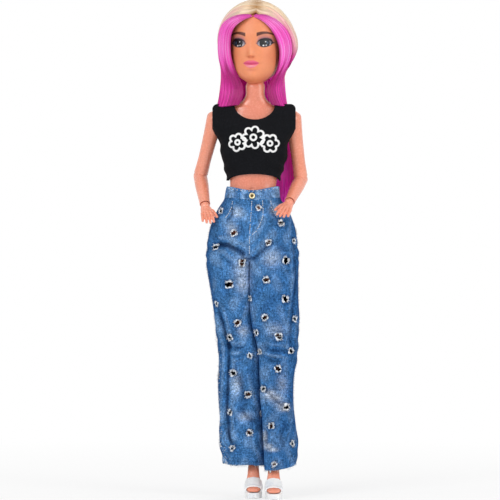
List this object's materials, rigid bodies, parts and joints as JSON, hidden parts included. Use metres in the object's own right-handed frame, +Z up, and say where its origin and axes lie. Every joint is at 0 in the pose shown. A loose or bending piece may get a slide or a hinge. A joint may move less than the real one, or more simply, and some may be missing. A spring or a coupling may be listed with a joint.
{
  "type": "fashion doll",
  "caption": "Jointed standing fashion doll with rooted hair, sleeveless top, wide jeans and platform sandals.",
  "frame": {"origin": "on the floor, below the middle of the figure's box", "axes": "+Z up from the soles to the crown, -Y the way the figure faces, +X the figure's left"},
  "size_m": [0.069, 0.0466, 0.3],
  "materials": {
    "hard_skin": "satin moulded plastic",
    "soft_skin": "soft vinyl",
    "peg_plastic": "moulded pegs and pins",
    "blond_hair": "silky synthetic fibre",
    "pink_hair": "silky synthetic fibre",
    "black_jersey": "knitted jersey",
    "blue_denim": "washed denim",
    "gold_metal": "plated button",
    "white_plastic": "moulded shoe plastic"
  },
  "bodies": {
    "torso": {"torso_front": "hard_skin", "torso_back": "hard_skin", "hip_axle": "peg_plastic", "crop_top": "black_jersey", "armhole_right": "black_jersey", "armhole_left": "black_jersey", "jeans_waistband": "blue_denim", "jeans_button": "gold_metal", "jeans_seat_right": "blue_denim", "jeans_seat_left": "blue_denim"},
    "neck": {"neck_knob": "peg_plastic"},
    "head": {"head_shell": "soft_skin", "hair_crown": "blond_hair", "hair_lock_right": "pink_hair", "hair_lock_left": "pink_hair", "hair_fall": "pink_hair"},
    "shoulder_right": {"shoulder_peg_right": "peg_plastic"},
    "upper_arm_right": {"upper_arm_right": "hard_skin", "shoulder_pin_right": "peg_plastic"},
    "elbow_right": {"elbow_link_right": "peg_plastic"},
    "forearm_right": {"forearm_right": "hard_skin", "elbow_pin_right": "peg_plastic"},
    "wrist_right": {"wrist_link_right": "peg_plastic"},
    "hand_right": {"hand_right": "hard_skin", "wrist_pin_right": "peg_plastic"},
    "thigh_right": {"thigh_right": "hard_skin", "knee_pin_right": "peg_plastic", "jeans_thigh_right": "blue_denim", "jeans_knee_right": "blue_denim"},
    "lower_leg_right": {"lower_leg_right": "hard_skin", "sandal_right": "white_plastic", "jeans_calf_right": "blue_denim"},
    "shoulder_left": {"shoulder_peg_left": "peg_plastic"},
    "upper_arm_left": {"upper_arm_left": "hard_skin", "shoulder_pin_left": "peg_plastic"},
    "elbow_left": {"elbow_link_left": "peg_plastic"},
    "forearm_left": {"forearm_left": "hard_skin", "elbow_pin_left": "peg_plastic"},
    "wrist_left": {"wrist_link_left": "peg_plastic"},
    "hand_left": {"hand_left": "hard_skin", "wrist_pin_left": "peg_plastic"},
    "thigh_left": {"thigh_left": "hard_skin", "knee_pin_left": "peg_plastic", "jeans_thigh_left": "blue_denim", "jeans_knee_left": "blue_denim"},
    "lower_leg_left": {"lower_leg_left": "hard_skin", "sandal_left": "white_plastic", "jeans_calf_left": "blue_denim"}
  },
  "joints": [
    {"name": "head_turn", "type": "hinge", "parent": "torso", "child": "neck", "pos_m": [0.00289, 0.00166, 0.247], "axis": [0, 0, 1], "range_deg": [-80, 80], "deforming": ["hair_fall", "hair_lock_right", "hair_lock_left"]},
    {"name": "head_nod", "type": "hinge", "parent": "neck", "child": "head", "pos_m": [0.00289, 0.00166, 0.247], "axis": [0.9848, -0.1736, 0], "range_deg": [-10, 10]},
    {"name": "shoulder_swing_right", "type": "hinge", "parent": "torso", "child": "shoulder_right", "pos_m": [-0.02141, 0.00166, 0.228], "axis": [-1, 0, 0], "range_deg": [-20, 110], "deforming": ["armhole_right"]},
    {"name": "shoulder_lift_right", "type": "hinge", "parent": "shoulder_right", "child": "upper_arm_right", "pos_m": [-0.02141, 0.00166, 0.228], "axis": [0, 0.9225, 0.3859], "range_deg": [-3, 75]},
    {"name": "elbow_twist_right", "type": "hinge", "parent": "upper_arm_right", "child": "elbow_right", "pos_m": [-0.03054, 0.01589, 0.19397], "axis": [0.2402, -0.3746, 0.8955], "range_deg": [-75, 6]},
    {"name": "elbow_bend_right", "type": "hinge", "parent": "elbow_right", "child": "forearm_right", "pos_m": [-0.03054, 0.01589, 0.19397], "axis": [-0.9447, -0.3024, 0.1269], "range_deg": [-69.8, 25]},
    {"name": "wrist_twist_right", "type": "hinge", "parent": "forearm_right", "child": "wrist_right", "pos_m": [-0.02725, -0.00213, 0.17552], "axis": [-0.1266, 0.6932, 0.7095], "range_deg": [-60, 60]},
    {"name": "wrist_bend_right", "type": "hinge", "parent": "wrist_right", "child": "hand_right", "pos_m": [-0.02725, -0.00213, 0.17552], "axis": [-0.9898, -0.1352, -0.0446], "range_deg": [-35, 40]},
    {"name": "hip_swing_right", "type": "hinge", "parent": "torso", "child": "thigh_right", "pos_m": [-0.01011, 0.00166, 0.153], "axis": [-1, 0, 0], "range_deg": [-20, 90], "deforming": ["jeans_seat_right"]},
    {"name": "knee_bend_right", "type": "hinge", "parent": "thigh_right", "child": "lower_leg_right", "pos_m": [-0.00448, 0.00402, 0.091], "axis": [0.9959, -0.0017, 0.0904], "range_deg": [0, 95], "deforming": ["jeans_knee_right"]},
    {"name": "shoulder_swing_left", "type": "hinge", "parent": "torso", "child": "shoulder_left", "pos_m": [0.02559, 0.00166, 0.228], "axis": [-1, 0, 0], "range_deg": [-4, 110], "deforming": ["armhole_left"]},
    {"name": "shoulder_lift_left", "type": "hinge", "parent": "shoulder_left", "child": "upper_arm_left", "pos_m": [0.02559, 0.00166, 0.228], "axis": [0, -0.9558, -0.294], "range_deg": [-3, 75]},
    {"name": "elbow_twist_left", "type": "hinge", "parent": "upper_arm_left", "child": "elbow_left", "pos_m": [0.03061, 0.01273, 0.192], "axis": [0.1323, 0.2915, -0.9474], "range_deg": [-75, 6]},
    {"name": "elbow_bend_left", "type": "hinge", "parent": "elbow_left", "child": "forearm_left", "pos_m": [0.03061, 0.01273, 0.192], "axis": [-0.9338, 0.3573, -0.0204], "range_deg": [-74.5, 20]},
    {"name": "wrist_twist_left", "type": "hinge", "parent": "forearm_left", "child": "wrist_left", "pos_m": [0.0232, -0.00747, 0.17741], "axis": [-0.2851, -0.7772, -0.561], "range_deg": [-60, 60]},
    {"name": "wrist_bend_left", "type": "hinge", "parent": "wrist_left", "child": "hand_left", "pos_m": [0.0232, -0.00747, 0.17741], "axis": [-0.9549, 0.1797, 0.2363], "range_deg": [-35, 40]},
    {"name": "hip_swing_left", "type": "hinge", "parent": "torso", "child": "thigh_left", "pos_m": [0.01189, 0.00166, 0.153], "axis": [-1, 0, 0], "range_deg": [-20, 90], "deforming": ["jeans_seat_left"]},
    {"name": "knee_bend_left", "type": "hinge", "parent": "thigh_left", "child": "lower_leg_left", "pos_m": [0.01283, -0.00071, 0.091], "axis": [0.9999, 0.0003, 0.0153], "range_deg": [0, 95], "deforming": ["jeans_knee_left"]}
  ]
}
